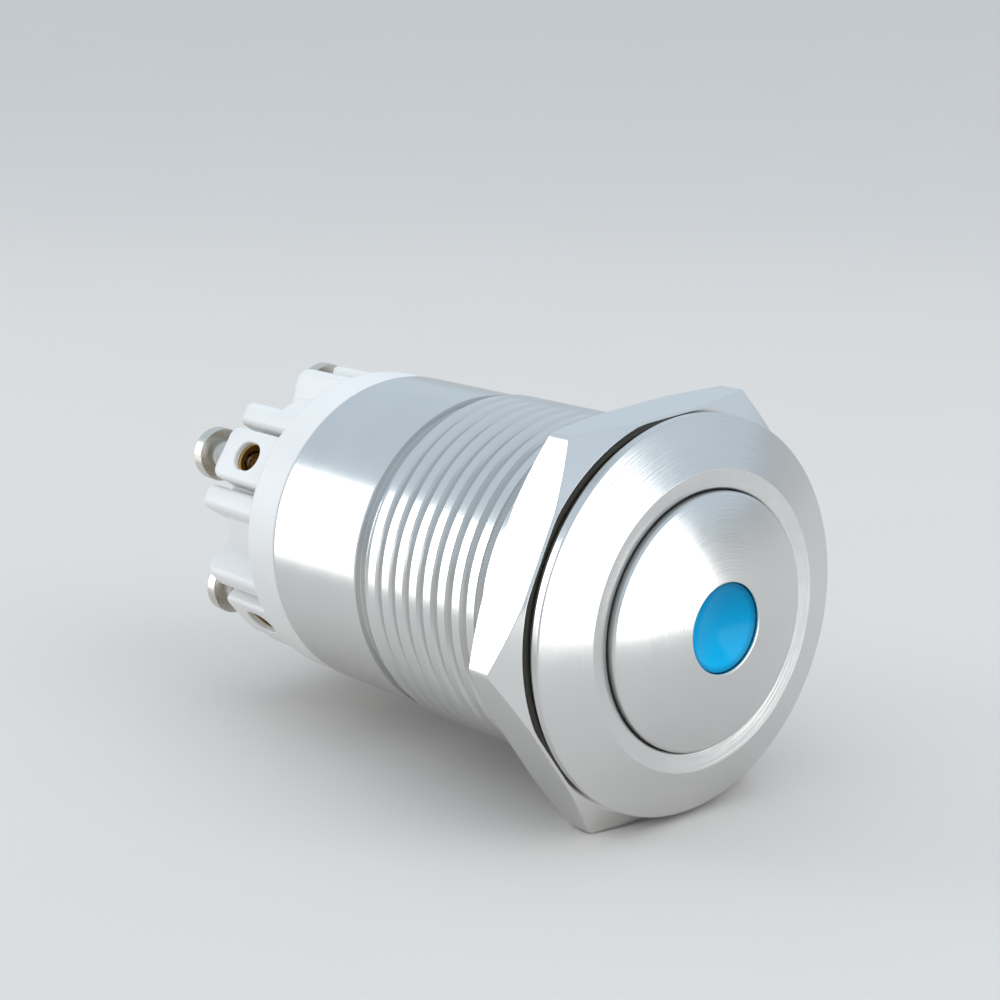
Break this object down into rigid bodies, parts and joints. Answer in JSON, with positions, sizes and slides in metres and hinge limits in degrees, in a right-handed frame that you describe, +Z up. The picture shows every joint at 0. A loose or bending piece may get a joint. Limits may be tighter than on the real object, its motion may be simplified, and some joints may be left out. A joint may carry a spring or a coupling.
{
  "type": "anti-vandal push button",
  "caption": "Panel push button with a domed brushed-metal head, lit lens in its centre, threaded barrel with hexagon nut and a moulded base with a ring of screw terminals.",
  "frame": {"origin": "on the button's axis, in the plane where the back of the bezel sits on the panel's seal", "axes": "+Y along the axis from the head to the terminals, +Z up as the object lies in the picture, +X to its right seen from the front"},
  "size_m": [0.0208, 0.0322, 0.0186],
  "materials": {
    "steel": "turned and brushed in circles",
    "nut_steel": "nickel plated",
    "rubber": "matt",
    "blue_lens": "clear, tinted blue",
    "dark_plastic": "moulded",
    "spring_steel": "drawn wire",
    "copper": "copper with a bright face",
    "white_plastic": "moulded, slightly glossy",
    "clear_lamp": "clear resin",
    "tinned_wire": "tinned",
    "resistor_coat": "lacquered",
    "brass": "stamped",
    "screw_nickel": "nickel plated"
  },
  "bodies": {
    "body": {"housing": "steel", "panel_seal": "rubber", "return_spring": "spring_steel", "base": "white_plastic", "lamp": "clear_lamp", "lamp_lead_short": "tinned_wire", "lamp_lead_long": "tinned_wire", "lamp_resistor": "resistor_coat", "contact_break": "brass", "contact_common": "brass", "contact_make": "brass", "terminal_clamp_1": "brass", "terminal_clamp_2": "brass", "terminal_clamp_3": "brass", "terminal_clamp_4": "brass", "terminal_clamp_5": "brass"},
    "button": {"button": "steel", "lens": "blue_lens", "button_seal": "rubber", "plunger": "dark_plastic", "contact_spring": "spring_steel", "contact_bridge": "copper"},
    "nut": {"mounting_nut": "nut_steel"},
    "screw_1": {"terminal_screw_1": "screw_nickel"},
    "screw_2": {"terminal_screw_2": "screw_nickel"},
    "screw_3": {"terminal_screw_3": "screw_nickel"},
    "screw_4": {"terminal_screw_4": "screw_nickel"},
    "screw_5": {"terminal_screw_5": "screw_nickel"}
  },
  "joints": [
    {"name": "button_press", "type": "slide", "parent": "body", "child": "button", "axis": [0, 1, 0], "range_m": [0, 0.0015], "stiffness_N_per_m": 1000, "springref_m": -0.002, "deforming": ["return_spring"]},
    {"name": "nut_run", "type": "slide", "parent": "body", "child": "nut", "axis": [0, 1, 0], "range_m": [0, 0.01]},
    {"name": "terminal_screw_1_tighten", "type": "slide", "parent": "body", "child": "screw_1", "axis": [0, -1, 0], "range_m": [0, 0.0015]},
    {"name": "terminal_screw_2_tighten", "type": "slide", "parent": "body", "child": "screw_2", "axis": [0, -1, 0], "range_m": [0, 0.0015]},
    {"name": "terminal_screw_3_tighten", "type": "slide", "parent": "body", "child": "screw_3", "axis": [0, -1, 0], "range_m": [0, 0.0015]},
    {"name": "terminal_screw_4_tighten", "type": "slide", "parent": "body", "child": "screw_4", "axis": [0, -1, 0], "range_m": [0, 0.0015]},
    {"name": "terminal_screw_5_tighten", "type": "slide", "parent": "body", "child": "screw_5", "axis": [0, -1, 0], "range_m": [0, 0.0015]}
  ]
}
